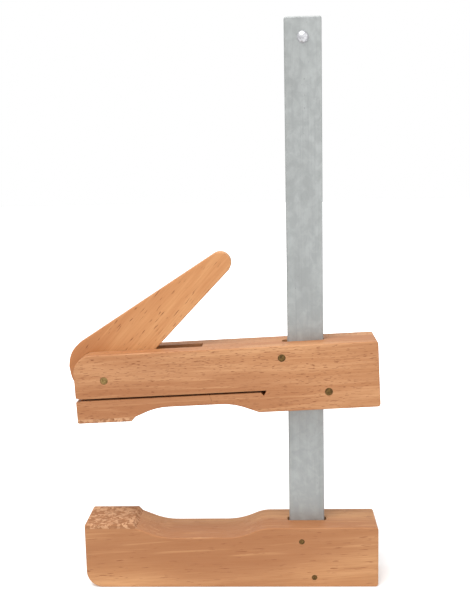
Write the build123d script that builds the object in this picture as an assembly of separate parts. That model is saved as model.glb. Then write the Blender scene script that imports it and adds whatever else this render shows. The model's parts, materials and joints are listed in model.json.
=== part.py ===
"""Wooden cam clamp: two beech jaws on a flat steel bar, tightened by a cam lever.

Sizes are in millimetres. X runs along the jaws towards their heels, Y across them,
Z up the bar. The origin is the middle of the bar on the underside of the fixed jaw.
"""

from build123d import *
from math import acos, asin, atan2, cos, degrees, hypot, radians, sin, sqrt, tan
import os

# Bar
bar_width = 18.8
bar_thickness = 5.0
bar_length = 295.7
bar_end_recess = 0.8
bar_edge_radius = 0.8
bar_corner_radius = 1.2

# Stop rivet near the top of the bar
rivet_diameter = 3.0
rivet_head_diameter = 6.0
rivet_head_height = 1.7
rivet_tail_diameter = 5.4
rivet_tail_height = 1.1
rivet_below_top = 10.0

# Both jaws
throat = 110.0
jaw_thickness = 27.0
jaw_edge_radius = 0.7
heel_corner_radius = 1.6
bar_side_clearance = 0.2
bar_slot_corner_radius = 1.6

# Hollow in the working side of both jaws, with a ramp at each end
hollow_depth = 5.3
hollow_ramp_angle = 21.8
hollow_blend_radius = 35.0

# Fixed jaw
fixed_height = 33.3
fixed_heel = 28.0
fixed_toe_radius = 9.0
fixed_slot_play = 1.1
fixed_hollow_from_bar = 14.1
fixed_hollow_lip_radius = 20.0
fixed_pin_diameter = 3.0
fixed_pin_upper_offset = -3.2
fixed_pin_upper_height = 25.6
fixed_pin_lower_offset = 3.4
fixed_pin_lower_height = 5.4

# Cork pads, glued on and trimmed with the wood
cork_thickness = 2.3
cork_end_run = 2.1
cork_outer_edge_radius = 0.9
fixed_cork_length = 28.0
sliding_cork_length = 30.7
sliding_land_height = 0.7

# Sliding jaw
sliding_height = 34.7
sliding_overhang = 1.1
sliding_heel = 27.1
sliding_toe_radius = 10.0
sliding_slot_play = 1.6
sliding_hollow_from_slot = 13.8
pin_recess = 0.15

# Grip pins, which stand into the bar slot and bite on the bar's edges
grip_pin_diameter = 4.0
grip_pin_bite = 1.3
grip_pin_lower_height = 9.4
grip_pin_upper_below_top = 6.3
grip_pin_gap = 0.1
grip_pin_clearance = 0.05
slot_rim_gap = 0.4
jaw_pin_height = 107.7

# Saw kerf that frees the tongue
tongue_thickness = 10.55
kerf_width = 1.12
kerf_root_from_slot = 11.9
kerf_relief_depth = 1.75
kerf_relief_width = 3.1
kerf_flare = 0.6
kerf_flare_run = 2.5

# Where the tongue bends
flex_from_kerf_root = 30.5
flex_radius = 4.0
flex_clearance = 0.1

# Cam lever
pivot_from_tip = 15.8
pivot_diameter = 4.0
pivot_clearance = 0.05
cam_rest_gap = 0.17
cam_flat_height = 10.3
cam_base_radius = 6.0
cam_shoulder_start = 169.5
cam_shoulder_radius = 13.9
cam_corner_radius = 1.2
lever_thickness = 8.0
lever_side_clearance = 0.2
lever_reach = 91.2
lever_tip_radius = 5.8
lever_edge_angle = 44.0
lever_edge_offset = 9.0
lever_edge_radius = 0.6
lever_slot_past_pivot = 51.6

# Cutting tools reach this far past the wood
overcut = 5.0

# Fixed jaw: places along X
bar_edge = bar_width / 2
fixed_tip = -(bar_edge + throat)
fixed_end = bar_edge + fixed_heel
fixed_slot_length = bar_width + 2 * fixed_slot_play
bar_slot_width = bar_thickness + 2 * bar_side_clearance
bar_top = bar_end_recess + bar_length

# Sliding jaw: X is counted from the middle of its bar slot and Z from its underside
sliding_slot_half = bar_edge + sliding_slot_play
sliding_tip = -(bar_edge + throat + sliding_overhang)
sliding_end = sliding_slot_half + sliding_heel
grip_radius = grip_pin_diameter / 2
grip_offset = sliding_slot_half + grip_radius - grip_pin_bite
grip_lower = (grip_offset, grip_pin_lower_height)
grip_upper = (-grip_offset, sliding_height - grip_pin_upper_below_top)
kerf_root = -(sliding_slot_half + kerf_root_from_slot)
kerf_top = tongue_thickness + kerf_width
web_thickness = tongue_thickness - hollow_depth
flex_axis = (kerf_root - flex_from_kerf_root, hollow_depth + web_thickness / 2)
pivot = (sliding_tip + pivot_from_tip, tongue_thickness + cam_rest_gap + cam_flat_height)


def rest_tilt():
    """Angle at which the jaw hangs, with its slot rim and its lower grip pin on the bar."""
    rise = sliding_height - grip_lower[1]
    run = grip_lower[0] - (sliding_slot_half - slot_rim_gap)
    reach = grip_radius + grip_pin_gap
    return degrees(asin(reach / hypot(rise, run)) - atan2(run, rise))


tilt = rest_tilt()
rock_axis = (bar_edge + grip_pin_gap + grip_radius, jaw_pin_height)


def place_on_bar(piece):
    """Moves a piece of the sliding jaw from the jaw's own frame to its place on the bar."""
    from_pin = Pos(-grip_lower[0], 0, -grip_lower[1])
    return Pos(rock_axis[0], 0, rock_axis[1]) * Rot(0, -tilt, 0) * from_pin * piece


def outline(corners):
    """Closed face with its corners given as (x, z, corner radius)."""
    points = [(x, z) for x, z, radius in corners]
    radii = [radius for x, z, radius in corners]
    return make_face(FilletPolyline(*points, radius=radii, close=True))


def plate(face, thickness):
    """Solid of this thickness, centred across the jaws, from a face drawn in X and Z."""
    return extrude(Plane.XZ * face, thickness / 2, both=True)


def ease_rims(solid, radius):
    """Rounds the outer edges of both broad sides."""
    return fillet(solid.faces().filter_by(Axis.Y).edges(), radius)


def box_between(low, high):
    """Box from its lowest to its highest corner."""
    size = [b - a for a, b in zip(low, high)]
    return Pos(*low) * Box(*size, align=(Align.MIN, Align.MIN, Align.MIN))


def cross_pin(place, diameter, length, edge=0.0):
    """Round pin or hole across the jaws at (x, z), with a small chamfer at both ends."""
    pin = Rot(90, 0, 0) * Cylinder(diameter / 2, length)
    if edge:
        pin = chamfer(pin.edges(), edge)
    return Pos(place[0], 0, place[1]) * pin


def bar_slot(length, height):
    """Upright slot with rounded corners that the bar passes through."""
    face = RectangleRounded(length, bar_slot_width, bar_slot_corner_radius)
    return Pos(0, 0, -overcut) * extrude(face, height + 2 * overcut)


def hollow_run():
    """Length of a ramp of the hollow."""
    return hollow_depth / tan(radians(hollow_ramp_angle))


def bar():
    """Flat steel bar with rounded edges, drilled for the rivet and the two jaw pins."""
    face = outline(
        [
            (-bar_edge, bar_end_recess, 0),
            (bar_edge, bar_end_recess, 0),
            (bar_edge, bar_top, bar_corner_radius),
            (-bar_edge, bar_top, bar_corner_radius),
        ]
    )
    flat = ease_rims(plate(face, bar_thickness), bar_edge_radius)
    through = bar_thickness + overcut
    flat -= cross_pin((0, bar_top - rivet_below_top), rivet_diameter, through)
    for place in fixed_pin_places():
        flat -= cross_pin(place, fixed_pin_diameter, through)
    return flat


def rivet_cap(diameter, height):
    """Face of half a domed rivet head on the X axis, its flat side at zero height."""
    radius = diameter / 2
    sphere = (radius**2 + height**2) / (2 * height)
    half_way = asin(radius / sphere) / 2
    middle = (sphere * sin(half_way), height - sphere + sphere * cos(half_way))
    dome = ThreePointArc((0, height), middle, (radius, 0))
    return make_face([dome, Line((radius, 0), (0, 0)), Line((0, 0), (0, height))])


def stop_rivet():
    """Rivet with a domed head in front and a lower one behind, which stops the sliding jaw."""
    head = Pos(0, bar_thickness / 2) * rivet_cap(rivet_head_diameter, rivet_head_height)
    tail = Pos(0, bar_thickness / 2) * rivet_cap(rivet_tail_diameter, rivet_tail_height)
    shank = Pos(0, 0, bar_top - rivet_below_top) * Rot(90, 0, 0)
    rivet = Cylinder(rivet_diameter / 2, bar_thickness)
    rivet += revolve(Plane.XZ * head, Axis.Z)
    rivet += Rot(180, 0, 0) * revolve(Plane.XZ * tail, Axis.Z)
    return shank * rivet


def fixed_pin_places():
    """Where the two pins go through the fixed jaw and the bar."""
    upper = (fixed_pin_upper_offset, fixed_pin_upper_height)
    lower = (fixed_pin_lower_offset, fixed_pin_lower_height)
    return [upper, lower]


def fixed_jaw_pins():
    """The two pins that hold the bar in the fixed jaw, upper one first."""
    length = jaw_thickness - 2 * pin_recess
    return [cross_pin(p, fixed_pin_diameter, length, pin_recess) for p in fixed_pin_places()]


def fixed_jaw_and_cork():
    """Fixed jaw and its cork pad, shaped together and then parted at the glue line."""
    cork_end = fixed_tip + fixed_cork_length
    inner = -(bar_edge + fixed_hollow_from_bar)
    floor = fixed_height - hollow_depth
    whole = outline(
        [
            (fixed_tip, 0, fixed_toe_radius),
            (fixed_end, 0, heel_corner_radius),
            (fixed_end, fixed_height, heel_corner_radius),
            (inner, fixed_height, fixed_hollow_lip_radius),
            (inner - hollow_run(), floor, hollow_blend_radius),
            (cork_end + hollow_run(), floor, hollow_blend_radius),
            (cork_end, fixed_height, 0),
            (cork_end - cork_end_run, fixed_height + cork_thickness, 0),
            (fixed_tip, fixed_height + cork_thickness, cork_outer_edge_radius),
        ]
    )
    wood = ease_rims(plate(whole, jaw_thickness), jaw_edge_radius)
    low = (fixed_tip - overcut, -jaw_thickness, fixed_height)
    high = (cork_end + overcut, jaw_thickness, fixed_height + overcut)
    cork = wood & box_between(low, high)
    wood -= box_between(low, high)
    wood -= bar_slot(fixed_slot_length, fixed_height)
    for place in fixed_pin_places():
        wood -= cross_pin(place, fixed_pin_diameter, jaw_thickness + overcut)
    return wood, cork


def sliding_outline():
    """Side view of the sliding jaw with its tongue and its cork pad."""
    cork_end = sliding_tip + sliding_cork_length
    cork_face = sliding_land_height - cork_thickness
    inner = -(sliding_slot_half + sliding_hollow_from_slot)
    land_run = sliding_land_height / tan(radians(hollow_ramp_angle))
    return outline(
        [
            (sliding_end, 0, heel_corner_radius),
            (sliding_end, sliding_height, heel_corner_radius),
            (sliding_tip, sliding_height, sliding_toe_radius),
            (sliding_tip, cork_face, cork_outer_edge_radius),
            (cork_end - cork_end_run, cork_face, 0),
            (cork_end, sliding_land_height, 0),
            (cork_end - land_run + hollow_run(), hollow_depth, hollow_blend_radius),
            (inner - hollow_run(), hollow_depth, hollow_blend_radius),
            (inner, 0, 0),
        ]
    )


def kerf():
    """Saw cut between jaw and tongue, flared at its mouth and with a notch at its root."""
    flare_end = sliding_tip + kerf_flare_run
    outside = sliding_tip - overcut
    face = outline(
        [
            (outside, tongue_thickness - kerf_flare, 0),
            (sliding_tip, tongue_thickness - kerf_flare, 0),
            (flare_end, tongue_thickness, 0),
            (kerf_root - kerf_relief_width / 6, tongue_thickness, 0),
            (kerf_root + kerf_relief_width / 3, tongue_thickness - kerf_relief_depth, 0),
            (kerf_root + kerf_relief_width * 5 / 6, kerf_top, 0),
            (flare_end, kerf_top, 0),
            (sliding_tip, kerf_top + kerf_flare, 0),
            (outside, kerf_top + kerf_flare, 0),
        ]
    )
    return plate(face, jaw_thickness + overcut)


def flex_slit():
    """Thin curved slit about the axis where the tongue bends, across its thin web."""
    spread = asin((web_thickness / 2 + kerf_width / 3) / flex_radius)
    corners = []
    for radius in (flex_radius, flex_radius + flex_clearance):
        ends = [(radius * cos(a), radius * sin(a)) for a in (-spread, spread)]
        corners.append([ends[0], (radius, 0), ends[1]])
    inner, outer = corners
    edges = [
        ThreePointArc(*inner),
        Line(inner[2], outer[2]),
        ThreePointArc(*outer),
        Line(outer[0], inner[0]),
    ]
    return plate(Pos(*flex_axis) * make_face(edges), jaw_thickness + overcut)


def sliding_jaw_pieces():
    """Sliding jaw, tongue and cork pad in the jaw's own frame, cut from one shape."""
    wood = ease_rims(plate(sliding_outline(), jaw_thickness), jaw_edge_radius)
    low = (sliding_tip - overcut, -jaw_thickness, -overcut)
    high = (sliding_tip + sliding_cork_length + overcut, jaw_thickness, sliding_land_height)
    cork = wood & box_between(low, high)
    wood -= box_between(low, high)
    half_slot = lever_thickness / 2 + lever_side_clearance
    low = (sliding_tip - overcut, -half_slot, tongue_thickness + kerf_width / 2)
    high = (pivot[0] + lever_slot_past_pivot, half_slot, sliding_height + overcut)
    wood -= box_between(low, high)
    wood -= bar_slot(2 * sliding_slot_half, sliding_height)
    through = jaw_thickness + overcut
    wood -= cross_pin(pivot, pivot_diameter, through)
    wood -= cross_pin(grip_upper, grip_pin_diameter, through)
    wood -= cross_pin(grip_lower, grip_pin_diameter + 2 * grip_pin_clearance, through)
    wood -= kerf()
    wood -= flex_slit()
    tongue, jaw = wood.solids().sort_by(SortBy.VOLUME)[-2:]
    return jaw, tongue, cork


def around(angle, radius=1.0):
    """Point at this angle in degrees and distance from the pivot."""
    return Vector(radius * cos(radians(angle)), radius * sin(radians(angle)))


def cam_point(angle):
    """Point of the involute cam whose outward normal has this angle in degrees."""
    support = cam_flat_height + cam_base_radius * radians(270 - angle)
    return around(angle, support) - around(angle + 90, cam_base_radius)


def cam_lever():
    """Flat lever with an involute cam beside the pivot, drawn about the pivot."""
    across = around(lever_edge_angle - 90)
    side = lever_edge_offset - lever_tip_radius
    along = sqrt((lever_reach - lever_tip_radius) ** 2 - side**2)
    tip = around(lever_edge_angle, along) + across * side
    steps = 8
    sweep = 270 - cam_shoulder_start
    cam = [cam_point(270 - sweep * i / steps) for i in range(steps + 1)]
    shoulder = cam[-1] - around(cam_shoulder_start, cam_shoulder_radius)
    gap = tip - shoulder
    turn = acos((cam_shoulder_radius - lever_tip_radius) / gap.length)
    upper = degrees(atan2(gap.Y, gap.X) + turn)
    lower = lever_edge_angle - 90
    flat_end = (lever_edge_offset * 1.0 - cam_flat_height * cos(radians(lever_edge_angle)))
    flat_end = Vector(flat_end / sin(radians(lever_edge_angle)), -cam_flat_height)
    shoulder_end = shoulder + around(upper, cam_shoulder_radius)
    tip_start = tip + around(upper, lever_tip_radius)
    tip_end = tip + around(lower, lever_tip_radius)
    edges = [
        Line(flat_end, cam[0]),
        Spline(*cam, tangents=[around(180), -around(cam_shoulder_start + 90)]),
        ThreePointArc(
            cam[-1],
            shoulder + around((cam_shoulder_start + upper) / 2, cam_shoulder_radius),
            shoulder_end,
        ),
        Line(shoulder_end, tip_start),
        ThreePointArc(tip_start, tip + around((upper + lower) / 2, lever_tip_radius), tip_end),
        Line(tip_end, flat_end),
    ]
    face = make_face(edges)
    face = fillet(face.vertices().sort_by_distance(flat_end)[0], cam_corner_radius)
    lever = ease_rims(plate(face, lever_thickness), lever_edge_radius)
    lever -= cross_pin((0, 0), pivot_diameter + 2 * pivot_clearance, lever_thickness + overcut)
    return Pos(pivot[0], 0, pivot[1]) * lever


def clamp_pieces():
    """Every piece of the clamp by name, in its place at rest."""
    wood, cork = fixed_jaw_and_cork()
    upper_pin, lower_pin = fixed_jaw_pins()
    jaw, tongue, sliding_cork = sliding_jaw_pieces()
    pin_length = jaw_thickness - 2 * pin_recess
    return {
        "bar": bar(),
        "stop_rivet": stop_rivet(),
        "fixed_jaw": wood,
        "fixed_jaw_cork": cork,
        "fixed_jaw_pin_upper": upper_pin,
        "fixed_jaw_pin_lower": lower_pin,
        "sliding_jaw": place_on_bar(jaw),
        "sliding_jaw_tongue": place_on_bar(tongue),
        "sliding_jaw_cork": place_on_bar(sliding_cork),
        "grip_pin_upper": place_on_bar(
            cross_pin(grip_upper, grip_pin_diameter, pin_length, pin_recess)
        ),
        "grip_pin_lower": place_on_bar(
            cross_pin(grip_lower, grip_pin_diameter, pin_length, pin_recess)
        ),
        "cam_pivot_pin": place_on_bar(
            cross_pin(pivot, pivot_diameter, pin_length, pin_recess)
        ),
        "cam_lever": place_on_bar(cam_lever()),
    }


os.makedirs("parts", exist_ok=True)
for name, piece in clamp_pieces().items():
    export_step(piece, f"parts/{name}.step")
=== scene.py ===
import bmesh
import bpy
import json
from math import cos, radians, sin
from mathutils import Matrix, Vector


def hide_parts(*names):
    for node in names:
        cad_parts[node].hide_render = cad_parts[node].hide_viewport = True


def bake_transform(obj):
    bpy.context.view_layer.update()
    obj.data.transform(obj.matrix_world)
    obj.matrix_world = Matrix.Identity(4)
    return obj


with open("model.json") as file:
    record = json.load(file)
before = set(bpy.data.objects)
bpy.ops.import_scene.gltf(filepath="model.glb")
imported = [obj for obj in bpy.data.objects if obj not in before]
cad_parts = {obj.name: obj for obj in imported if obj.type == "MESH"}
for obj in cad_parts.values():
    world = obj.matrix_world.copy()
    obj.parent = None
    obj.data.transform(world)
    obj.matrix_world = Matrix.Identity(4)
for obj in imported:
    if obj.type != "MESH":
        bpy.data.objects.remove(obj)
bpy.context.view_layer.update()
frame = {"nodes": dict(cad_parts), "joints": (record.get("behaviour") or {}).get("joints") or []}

NODES = frame["nodes"]
JOINTS = {joint["name"]: joint for joint in frame["joints"]}

# The sliding jaw hangs at this angle on the bar, and its grain runs along it
JAW_TILT = radians(2.27)
ALONG_JAW = Vector((cos(JAW_TILT), 0, sin(JAW_TILT)))
# Grain of the other wooden pieces, rising to the right from level
FIXED_JAW_GRAIN = radians(3)
LEVER_GRAIN = radians(48)

# Camera fitted to the photograph, whose image is 470 x 611 pixels
IMAGE_HEIGHT = 611
FOCAL_PIXELS = 903.73
SENSOR = 36.0
CAMERA_PLACE = Vector((-0.016328, -0.468072, 0.228509))
CAMERA_YAW = 0.0434
CAMERA_PITCH = 0.1633
CAMERA_ROLL = -0.0215
CLIP_START = 0.01

# The tongue is sliced where it bends, from just right of its hinge to this far left of it, in
# metres
BEND_START = 0.0042
BEND_END = 0.030
BEND_STEP = 0.002
# Edges of the tongue that turn by more than this stay sharp
SHARP_EDGE = radians(30)

# Wood patterns, in repeats per metre along the grain, through the piece and across the grain
BAND_SCALE = (9, 90, 110)
BROAD_SCALE = (5, 25, 28)
FIBRE_SCALE = (60, 1500, 1800)
PALE_SCALE = (22, 420, 460)
PATCH_SCALE = (30, 60, 70)
# Each seed moves the wood patterns on by this much
SEED_STEP = (3.7, 1.3, 2.1)
# A fleck starts to show at the first value of its pattern and is full at the second
FLECK_EDGE = 0.74
FLECK_FULL = 0.80

# Zinc patterns, in repeats per metre along X, Y and Z
STREAK_SCALE = (900, 900, 18)
MOTTLE_SCALE = (260, 260, 200)
CLOUD_SCALE = (60, 60, 22)
ZINC_SPECK_SCALE = (700, 700, 600)

# Patterns of the small metal parts and the cork, in repeats per metre
TARNISH_SCALE = (900, 900, 900)
CORK_GRAINS = 650
CORK_SPECK_SCALE = (1100, 1100, 1100)
CORK_SOFT_SCALE = (250, 250, 250)
# Tarnish makes the small metal parts rougher by this much
TARNISH_ROUGHENING = 0.15

WHITE = (1, 1, 1, 1)
FLOOR_COLOUR = (0.9, 0.9, 0.9, 1)
FLOOR_HALF_WIDTH = 4.0
# The floor seen by the camera glows more with the distance from the clamp's origin
GLOW_NEAR_DISTANCE = 0.1
GLOW_FAR_DISTANCE = 0.5
GLOW_NEAR = 0.2
GLOW_FAR = 1.0

# Surroundings as a light, and as they are seen or mirrored
WORLD_LIGHT = 0.6
WORLD_SEEN = 1.0
# Lamps, in metres and watts
LAMP_TARGET = (-0.04, 0, 0.12)
KEY_PLACE = (-0.35, -0.45, 1.4)
KEY_SIZE = 0.9
KEY_POWER = 22
FILL_PLACE = (0.9, -1.0, 0.5)
FILL_SIZE = 1.0
FILL_POWER = 5

# Numbers of the colour sockets on a mix node, whose names are shared with other types
MIX_FACTOR = 0
MIX_FIRST = 6
MIX_SECOND = 7
MIX_RESULT = 2


def srgb(red, green, blue):
    """Linear colour from the 0 to 255 values of a screen colour."""
    def linear(value):
        value /= 255
        return value / 12.92 if value <= 0.04045 else ((value + 0.055) / 1.055) ** 2.4
    return (linear(red), linear(green), linear(blue), 1.0)


class Shader:
    """Small helper that builds one node material."""

    def __init__(self, name):
        self.material = bpy.data.materials.new(name)
        self.material.use_nodes = True
        self.tree = self.material.node_tree
        self.surface = self.tree.nodes["Principled BSDF"]

    def add(self, kind, **settings):
        node = self.tree.nodes.new(kind)
        for key, value in settings.items():
            setattr(node, key, value)
        return node

    def link(self, source, target):
        self.tree.links.new(source, target)

    def place(self, angle=0.0, scale=(1, 1, 1), offset=(0, 0, 0)):
        """Object coordinates turned about Y, then stretched and moved."""
        coordinates = self.add("ShaderNodeTexCoord").outputs["Object"]
        turn = self.add("ShaderNodeMapping", vector_type="POINT")
        turn.inputs["Rotation"].default_value = (0, angle, 0)
        self.link(coordinates, turn.inputs["Vector"])
        stretch = self.add("ShaderNodeMapping", vector_type="POINT")
        stretch.inputs["Scale"].default_value = scale
        stretch.inputs["Location"].default_value = offset
        self.link(turn.outputs["Vector"], stretch.inputs["Vector"])
        return stretch.outputs["Vector"]

    def noise(self, vector, detail=3.0, roughness=0.5, distortion=0.0):
        node = self.add("ShaderNodeTexNoise")
        node.inputs["Scale"].default_value = 1.0
        node.inputs["Detail"].default_value = detail
        node.inputs["Roughness"].default_value = roughness
        node.inputs["Distortion"].default_value = distortion
        self.link(vector, node.inputs["Vector"])
        return node.outputs["Fac"]

    def span(self, value, low, high, start=0.0, end=1.0):
        """Maps low..high to start..end, clamped and smooth."""
        node = self.add("ShaderNodeMapRange", interpolation_type="SMOOTHSTEP")
        node.inputs["From Min"].default_value = low
        node.inputs["From Max"].default_value = high
        node.inputs["To Min"].default_value = start
        node.inputs["To Max"].default_value = end
        self.link(value, node.inputs["Value"])
        return node.outputs["Result"]

    def math(self, operation, first, second):
        node = self.add("ShaderNodeMath", operation=operation)
        for socket, value in zip(node.inputs, (first, second)):
            if isinstance(value, (int, float)):
                socket.default_value = value
            else:
                self.link(value, socket)
        return node.outputs["Value"]

    def mix(self, factor, first, second):
        """First colour where the factor is 0, second where it is 1."""
        node = self.add("ShaderNodeMix", data_type="RGBA")
        pairs = ((MIX_FACTOR, factor), (MIX_FIRST, first), (MIX_SECOND, second))
        for number, value in pairs:
            if isinstance(value, (int, float, tuple)):
                node.inputs[number].default_value = value
            else:
                self.link(value, node.inputs[number])
        return node.outputs[MIX_RESULT]

    def bump(self, height, strength, distance, before=None):
        """Surface normal from a height, on top of the bump before it."""
        node = self.add("ShaderNodeBump")
        node.inputs["Strength"].default_value = strength
        node.inputs["Distance"].default_value = distance
        self.link(height, node.inputs["Height"])
        if before:
            self.link(before, node.inputs["Normal"])
        return node.outputs["Normal"]


def beech(name, base, light, dark, fleck, angle, fleck_size, fleck_amount, seed):
    """Oiled beech: soft bands and pale streaks along the grain, short dark flecks, fine pores."""
    s = Shader(name)
    shift = tuple(seed * step for step in SEED_STEP)
    length, height = fleck_size
    fleck_scale = (1 / length, 1 / height, 1 / height)
    bands = s.noise(s.place(angle, BAND_SCALE, shift), detail=4, roughness=0.55, distortion=0.6)
    broad = s.noise(s.place(angle, BROAD_SCALE, shift), detail=2, distortion=0.3)
    fibre = s.noise(s.place(angle, FIBRE_SCALE, shift), detail=3, roughness=0.6)
    flecks = s.noise(s.place(angle, fleck_scale, shift), detail=0.6, roughness=0.4, distortion=0.1)
    pale = s.noise(s.place(angle, PALE_SCALE, shift), detail=2, distortion=0.4)
    patches = s.noise(s.place(angle, PATCH_SCALE, shift), detail=2)
    colour = s.mix(s.span(bands, low=0.35, high=0.68), base, light)
    colour = s.mix(s.span(broad, low=0.42, high=0.7, end=0.75), colour, dark)
    colour = s.mix(s.span(fibre, low=0.35, high=0.75, end=0.35), colour, dark)
    colour = s.mix(s.span(pale, low=0.56, high=0.74, end=0.45), colour, light)
    marks = s.span(flecks, low=FLECK_EDGE - fleck_amount, high=FLECK_FULL - fleck_amount)
    thinning = s.span(patches, low=0.3, high=0.6, start=0.35, end=0.95)
    marks = s.math("MULTIPLY", marks, thinning)
    colour = s.mix(marks, colour, fleck)
    s.link(colour, s.surface.inputs["Base Color"])
    rough = s.span(fibre, low=0.3, high=0.7, start=0.48, end=0.62)
    s.link(rough, s.surface.inputs["Roughness"])
    s.surface.inputs["Specular IOR Level"].default_value = 0.35
    normal = s.bump(fibre, strength=0.35, distance=0.0001)
    pits = s.math("MULTIPLY", marks, -1.0)
    normal = s.bump(pits, strength=0.5, distance=0.00012, before=normal)
    s.link(normal, s.surface.inputs["Normal"])
    return s.material


def galvanised():
    """Dull zinc coat on cold-rolled steel: mottled grey with faint streaks and specks."""
    s = Shader("galvanised_steel")
    base = srgb(150, 153, 152)
    light = srgb(163, 166, 165)
    dark = srgb(134, 136, 135)
    speck = srgb(95, 92, 88)
    streaks = s.noise(s.place(scale=STREAK_SCALE), detail=3, roughness=0.6)
    mottle = s.noise(s.place(scale=MOTTLE_SCALE), detail=4, roughness=0.6, distortion=0.5)
    cloud = s.noise(s.place(scale=CLOUD_SCALE), detail=3)
    specks = s.noise(s.place(scale=ZINC_SPECK_SCALE), detail=1, roughness=0.4)
    colour = s.mix(s.span(mottle, low=0.35, high=0.7), base, light)
    colour = s.mix(s.span(cloud, low=0.45, high=0.75, end=0.55), colour, dark)
    colour = s.mix(s.span(streaks, low=0.45, high=0.8, end=0.35), colour, dark)
    colour = s.mix(s.span(specks, low=0.78, high=0.82, end=0.6), colour, speck)
    s.link(colour, s.surface.inputs["Base Color"])
    s.surface.inputs["Metallic"].default_value = 0.3
    rough = s.span(mottle, low=0.3, high=0.7, start=0.42, end=0.58)
    s.link(rough, s.surface.inputs["Roughness"])
    normal = s.bump(mottle, strength=0.12, distance=0.0001)
    normal = s.bump(streaks, strength=0.15, distance=0.00005, before=normal)
    s.link(normal, s.surface.inputs["Normal"])
    return s.material


def metal(name, colour, dark, roughness):
    """Small dull metal part with a tarnished face."""
    s = Shader(name)
    tarnish = s.noise(s.place(scale=TARNISH_SCALE), detail=4, roughness=0.65)
    tone = s.mix(s.span(tarnish, low=0.35, high=0.7), colour, dark)
    s.link(tone, s.surface.inputs["Base Color"])
    s.surface.inputs["Metallic"].default_value = 0.8
    rougher = roughness + TARNISH_ROUGHENING
    rough = s.span(tarnish, low=0.3, high=0.7, start=roughness, end=rougher)
    s.link(rough, s.surface.inputs["Roughness"])
    normal = s.bump(tarnish, strength=0.3, distance=0.00008)
    s.link(normal, s.surface.inputs["Normal"])
    return s.material


def cork():
    """Pressed cork: grains of uneven tone with dark specks and small pits."""
    s = Shader("cork")
    deep = srgb(150, 104, 72)
    light = srgb(198, 152, 116)
    dull = srgb(160, 108, 72)
    speck = srgb(88, 52, 34)
    cells = s.add("ShaderNodeTexVoronoi")
    cells.inputs["Scale"].default_value = CORK_GRAINS
    s.link(s.place(), cells.inputs["Vector"])
    grains = s.add("ShaderNodeSeparateColor")
    s.link(cells.outputs["Color"], grains.inputs["Color"])
    tone = grains.outputs["Red"]
    specks = s.noise(s.place(scale=CORK_SPECK_SCALE), detail=2)
    soft = s.noise(s.place(scale=CORK_SOFT_SCALE), detail=3, roughness=0.6)
    colour = s.mix(s.span(tone, low=0.1, high=0.9), deep, light)
    colour = s.mix(s.span(soft, low=0.4, high=0.7, end=0.5), colour, dull)
    colour = s.mix(s.span(specks, low=0.66, high=0.72, end=0.8), colour, speck)
    s.link(colour, s.surface.inputs["Base Color"])
    s.surface.inputs["Roughness"].default_value = 0.9
    s.surface.inputs["Specular IOR Level"].default_value = 0.2
    normal = s.bump(cells.outputs["Distance"], strength=0.5, distance=0.0003)
    pits = s.span(specks, low=0.6, high=0.75)
    normal = s.bump(pits, strength=-0.6, distance=0.0003, before=normal)
    s.link(normal, s.surface.inputs["Normal"])
    return s.material


def dress():
    """Gives every carried-over piece its finish."""
    sliding = beech(
        "sliding_jaw_beech",
        base=srgb(172, 118, 76),
        light=srgb(200, 150, 106),
        dark=srgb(150, 94, 56),
        fleck=srgb(128, 74, 40),
        angle=JAW_TILT,
        fleck_size=(0.0030, 0.00036),
        fleck_amount=0.10,
        seed=1,
    )
    fixed = beech(
        "fixed_jaw_beech",
        base=srgb(178, 126, 82),
        light=srgb(196, 146, 100),
        dark=srgb(152, 98, 60),
        fleck=srgb(132, 78, 44),
        angle=FIXED_JAW_GRAIN,
        fleck_size=(0.0060, 0.00045),
        fleck_amount=0.03,
        seed=5,
    )
    lever = beech(
        "lever_beech",
        base=srgb(188, 130, 82),
        light=srgb(204, 150, 100),
        dark=srgb(168, 108, 64),
        fleck=srgb(118, 66, 34),
        angle=LEVER_GRAIN,
        fleck_size=(0.0065, 0.00060),
        fleck_amount=0.07,
        seed=9,
    )
    brass = metal("dull_brass", srgb(112, 86, 46), srgb(70, 50, 26), roughness=0.45)
    pivot = metal("pivot_brass", srgb(150, 124, 76), srgb(104, 82, 46), roughness=0.4)
    rivet = metal("rivet_steel", srgb(205, 205, 208), srgb(165, 165, 168), roughness=0.3)
    zinc = galvanised()
    pads = cork()
    finishes = {
        "bar": zinc,
        "stop_rivet": rivet,
        "fixed_jaw": fixed,
        "fixed_jaw_cork": pads,
        "fixed_jaw_pin_upper": brass,
        "fixed_jaw_pin_lower": brass,
        "grip_pin_upper": brass,
        "grip_pin_lower": brass,
        "cam_pivot_pin": pivot,
        "sliding_jaw": sliding,
        "sliding_jaw_tongue": sliding,
        "cam_lever": lever,
        "sliding_jaw_cork": pads,
    }
    for node, material in finishes.items():
        mesh = NODES[node].data
        mesh.materials.clear()
        mesh.materials.append(material)


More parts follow.
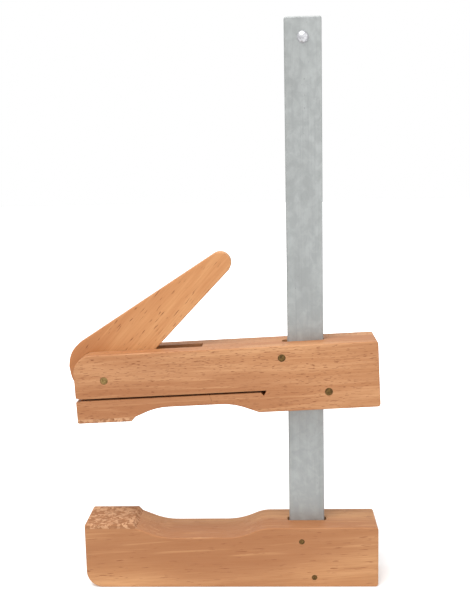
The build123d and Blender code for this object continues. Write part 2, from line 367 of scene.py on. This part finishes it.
def springy_tongue():
    """The tongue as one piece of wood from its root at the thin web to its tip, sliced across
    where it bends, shown in place of the carried-over tongue.
    """
    mesh = NODES["sliding_jaw_tongue"].data.copy()
    mesh.name = "springy_tongue"
    hinge = Vector(JOINTS["tongue_flex"]["pos_m"])
    start = hinge + ALONG_JAW * BEND_START
    cuts = int((BEND_END + BEND_START) / BEND_STEP)
    work = bmesh.new()
    work.from_mesh(mesh)
    for cut in range(1, cuts):
        everything = work.verts[:] + work.edges[:] + work.faces[:]
        point = start - ALONG_JAW * (BEND_STEP * cut)
        bmesh.ops.bisect_plane(work, geom=everything, plane_co=point, plane_no=ALONG_JAW)
    work.to_mesh(mesh)
    work.free()
    if "custom_normal" in mesh.attributes:
        mesh.attributes.remove(mesh.attributes["custom_normal"])
    mesh.shade_smooth()
    mesh.set_sharp_from_angle(angle=SHARP_EDGE)
    piece = bpy.data.objects.new("springy_tongue", mesh)
    bpy.context.scene.collection.objects.link(piece)
    weighted = piece.modifiers.new("normals", "WEIGHTED_NORMAL")
    weighted.keep_sharp = True
    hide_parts("sliding_jaw_tongue")
    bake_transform(piece)


def floor():
    """Plain pale floor that keeps the clamp's soft shadow."""
    half = FLOOR_HALF_WIDTH
    corners = [(-half, -half, 0), (half, -half, 0), (half, half, 0), (-half, half, 0)]
    mesh = bpy.data.meshes.new("floor")
    mesh.from_pydata(corners, [], [(0, 1, 2, 3)])
    ground = bpy.data.objects.new("floor", mesh)
    bpy.context.scene.collection.objects.link(ground)
    s = Shader("floor")
    s.surface.inputs["Base Color"].default_value = FLOOR_COLOUR
    s.surface.inputs["Roughness"].default_value = 0.9
    s.surface.inputs["Emission Color"].default_value = WHITE
    seen = s.add("ShaderNodeLightPath").outputs["Is Camera Ray"]
    spread = s.add("ShaderNodeVectorMath", operation="LENGTH")
    s.link(s.place(), spread.inputs[0])
    distance = spread.outputs["Value"]
    glow = s.span(distance, GLOW_NEAR_DISTANCE, GLOW_FAR_DISTANCE, GLOW_NEAR, GLOW_FAR)
    s.link(s.math("MULTIPLY", seen, glow), s.surface.inputs["Emission Strength"])
    mesh.materials.append(s.material)


def lamp(name, place, target, size, power):
    """Soft square lamp that looks at a point."""
    light = bpy.data.lights.new(name, "AREA")
    light.energy = power
    light.size = size
    holder = bpy.data.objects.new(name, light)
    bpy.context.scene.collection.objects.link(holder)
    direction = Vector(target) - Vector(place)
    holder.location = place
    holder.rotation_euler = direction.to_track_quat("-Z", "Y").to_euler()


def studio():
    """Even white surroundings, a soft key lamp high in front and a weak fill from the right."""
    world = bpy.data.worlds.new("studio")
    bpy.context.scene.world = world
    world.use_nodes = True
    tree = world.node_tree
    background = tree.nodes["Background"]
    background.inputs["Color"].default_value = WHITE
    path = tree.nodes.new("ShaderNodeLightPath")
    seen = tree.nodes.new("ShaderNodeMath")
    seen.operation = "MAXIMUM"
    tree.links.new(path.outputs["Is Camera Ray"], seen.inputs[0])
    tree.links.new(path.outputs["Is Glossy Ray"], seen.inputs[1])
    strength = tree.nodes.new("ShaderNodeMapRange")
    strength.inputs["To Min"].default_value = WORLD_LIGHT
    strength.inputs["To Max"].default_value = WORLD_SEEN
    tree.links.new(seen.outputs["Value"], strength.inputs["Value"])
    tree.links.new(strength.outputs["Result"], background.inputs["Strength"])
    lamp("key", KEY_PLACE, LAMP_TARGET, KEY_SIZE, KEY_POWER)
    lamp("fill", FILL_PLACE, LAMP_TARGET, FILL_SIZE, FILL_POWER)


def camera():
    """Camera at the photograph's viewpoint."""
    across = Vector((cos(CAMERA_YAW), sin(CAMERA_YAW), 0))
    ahead = Vector((-sin(CAMERA_YAW), cos(CAMERA_YAW), 0))
    forward = ahead * cos(CAMERA_PITCH) - Vector((0, 0, sin(CAMERA_PITCH)))
    upward = ahead * sin(CAMERA_PITCH) + Vector((0, 0, cos(CAMERA_PITCH)))
    right = across * cos(CAMERA_ROLL) + upward * sin(CAMERA_ROLL)
    up = upward * cos(CAMERA_ROLL) - across * sin(CAMERA_ROLL)
    data = bpy.data.cameras.new("camera")
    data.sensor_width = SENSOR
    data.lens = FOCAL_PIXELS * SENSOR / IMAGE_HEIGHT
    data.clip_start = CLIP_START
    holder = bpy.data.objects.new("camera", data)
    bpy.context.scene.collection.objects.link(holder)
    turn = Matrix((right, up, -forward)).transposed().to_4x4()
    holder.matrix_world = Matrix.Translation(CAMERA_PLACE) @ turn
    bpy.context.scene.camera = holder


bpy.context.scene.view_settings.view_transform = "Standard"
camera()
dress()
springy_tongue()
floor()
studio()
